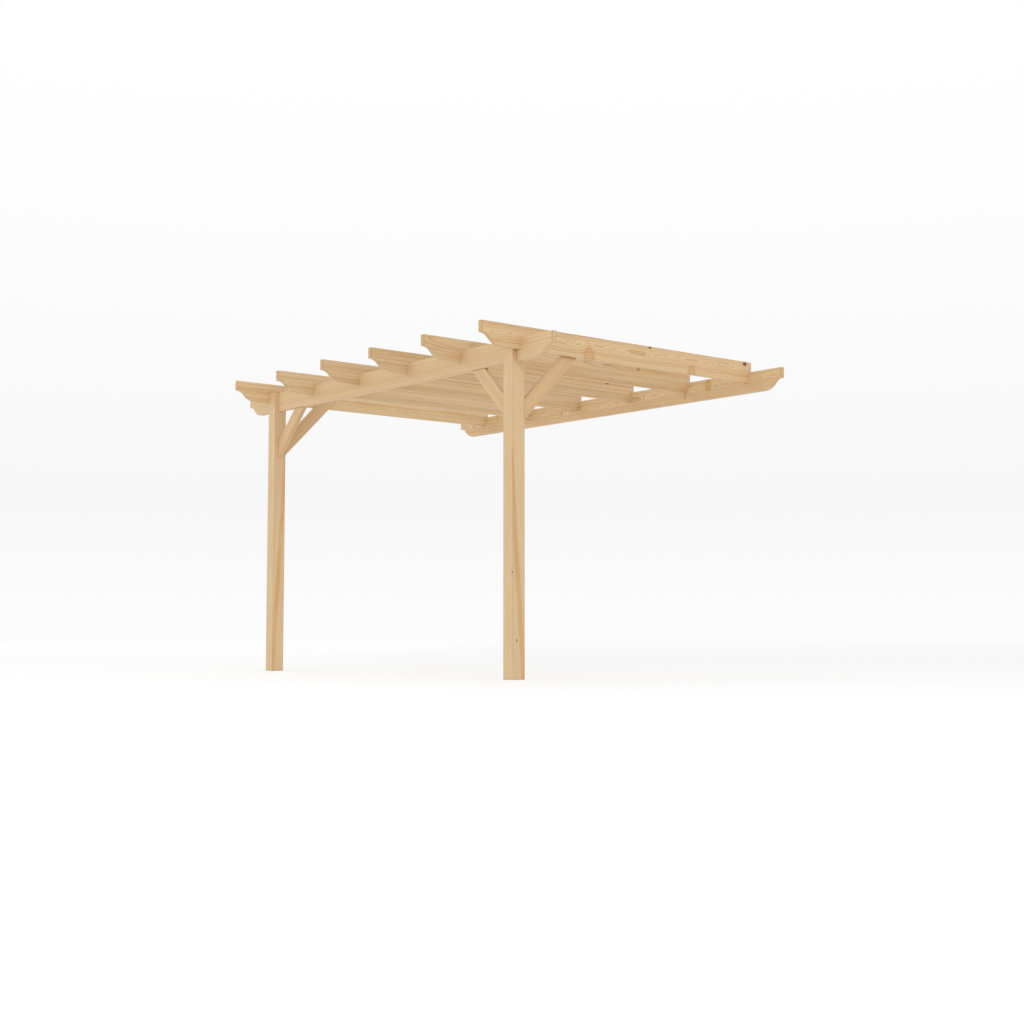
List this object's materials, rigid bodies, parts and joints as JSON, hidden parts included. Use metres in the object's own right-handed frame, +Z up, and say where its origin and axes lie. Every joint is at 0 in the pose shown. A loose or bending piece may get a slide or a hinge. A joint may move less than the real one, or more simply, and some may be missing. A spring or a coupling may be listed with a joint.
{
  "type": "wall-mounted wooden pergola",
  "caption": "Lean-to garden pergola: two forked posts and a front beam carry notched rafters that run back to a wall beam, with ogee timber ends and knee braces.",
  "frame": {"origin": "middle of the wall beam's back face, which bolts to the wall; the ground is 2.0275 m below it", "axes": "+X along the wall, to the right seen from the garden; +Y towards the wall; +Z up"},
  "size_m": [3.6, 2.4, 2.1725],
  "materials": {
    "planed_softwood": "planed, untreated, matt"
  },
  "bodies": {
    "root": {"front_beam": "planed_softwood", "wall_beam": "planed_softwood", "left_post": "planed_softwood", "right_post": "planed_softwood", "left_beam_brace": "planed_softwood", "right_beam_brace": "planed_softwood", "left_rafter_brace": "planed_softwood", "right_rafter_brace": "planed_softwood", "rafter_1": "planed_softwood", "rafter_2": "planed_softwood", "rafter_3": "planed_softwood", "rafter_4": "planed_softwood", "rafter_5": "planed_softwood", "rafter_6": "planed_softwood"}
  },
  "joints": []
}
